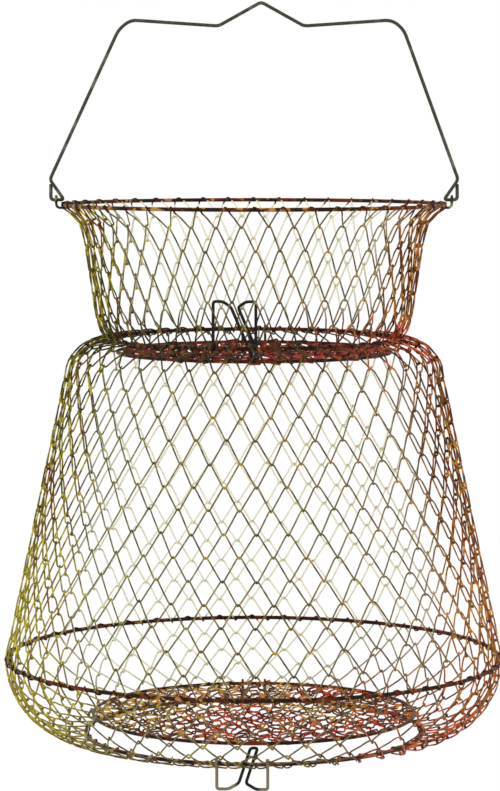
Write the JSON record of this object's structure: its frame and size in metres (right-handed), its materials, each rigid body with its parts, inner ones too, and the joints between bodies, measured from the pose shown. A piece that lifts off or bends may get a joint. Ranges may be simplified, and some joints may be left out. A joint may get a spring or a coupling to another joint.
{
  "type": "fishing keepnet",
  "caption": "Collapsible wire-mesh fishing keepnet hung from a wire bail, with a sprung lid in its flared neck and a latched door in its base.",
  "frame": {"origin": "the inside peak of the bail's bent bar, where a hook or a line holds the basket", "axes": "-Z down along the basket's axis, +X to the right along the bail's bar, -Y to the front, where both latches are"},
  "size_m": [0.4234, 0.4234, 0.644],
  "materials": {
    "bail_steel": "drawn wire, dull grey",
    "hoop_wire": "dark brown lacquer over wire, worn",
    "latch_wire": "dark spring wire",
    "net_brass": "lacquered wire, yellow to copper",
    "net_copper": "lacquered wire, copper to dark red"
  },
  "bodies": {
    "bail": {"bail": "bail_steel"},
    "top": {"top_hoop": "hoop_wire", "bail_ear_left": "hoop_wire", "bail_ear_right": "hoop_wire", "neck_net": "net_brass"},
    "neck": {"neck_ring": "hoop_wire", "lid_clip_left": "hoop_wire", "lid_clip_right": "hoop_wire", "lid_spring": "bail_steel", "body_net": "net_brass"},
    "wide": {"wide_hoop": "hoop_wire", "base_net": "net_copper"},
    "base": {"base_ring": "hoop_wire", "door_clip_left": "hoop_wire", "door_clip_right": "hoop_wire"},
    "lid": {"lid_rim": "hoop_wire", "lid_net": "net_copper"},
    "lid_latch": {"lid_latch": "latch_wire"},
    "door": {"door_rim": "hoop_wire", "door_net": "net_copper"},
    "door_latch": {"door_latch": "latch_wire"}
  },
  "joints": [
    {"name": "bail_swing", "type": "hinge", "parent": "bail", "child": "top", "pos_m": [-0.006, 0, -0.166], "axis": [1, 0, 0], "range_deg": [-90, 90]},
    {"name": "neck_collapse", "type": "slide", "parent": "top", "child": "neck", "axis": [0, 0, 1], "range_m": [0, 0.1], "deforming": ["neck_net"]},
    {"name": "body_collapse", "type": "slide", "parent": "neck", "child": "wide", "axis": [0, 0, 1], "range_m": [0, 0.242], "deforming": ["body_net"]},
    {"name": "base_collapse", "type": "slide", "parent": "wide", "child": "base", "axis": [0, 0, 1], "range_m": [0, 0.052], "deforming": ["base_net"]},
    {"name": "lid_hinge", "type": "hinge", "parent": "neck", "child": "lid", "pos_m": [-0.006, 0.11557, -0.2945], "axis": [-1, 0, 0], "range_deg": [-55, 0], "stiffness_Nm_per_rad": 0.1, "springref_deg": 85.94, "deforming": ["lid_spring"]},
    {"name": "door_hinge", "type": "hinge", "parent": "base", "child": "door", "pos_m": [-0.006, 0.13714, -0.6045], "axis": [1, 0, 0], "range_deg": [-82, 0]},
    {"name": "lid_latch_turn", "type": "hinge", "parent": "neck", "child": "lid_latch", "pos_m": [-0.02245, -0.12012, -0.2835], "axis": [-0.9907, 0.1357, 0], "range_deg": [0, 40], "stiffness_Nm_per_rad": 0.01, "springref_deg": -28.65},
    {"name": "door_latch_turn", "type": "hinge", "parent": "base", "child": "door_latch", "pos_m": [-0.01594, -0.14214, -0.6205], "axis": [0.9976, -0.0698, 0], "range_deg": [0, 40], "stiffness_Nm_per_rad": 0.01, "springref_deg": -28.65}
  ]
}
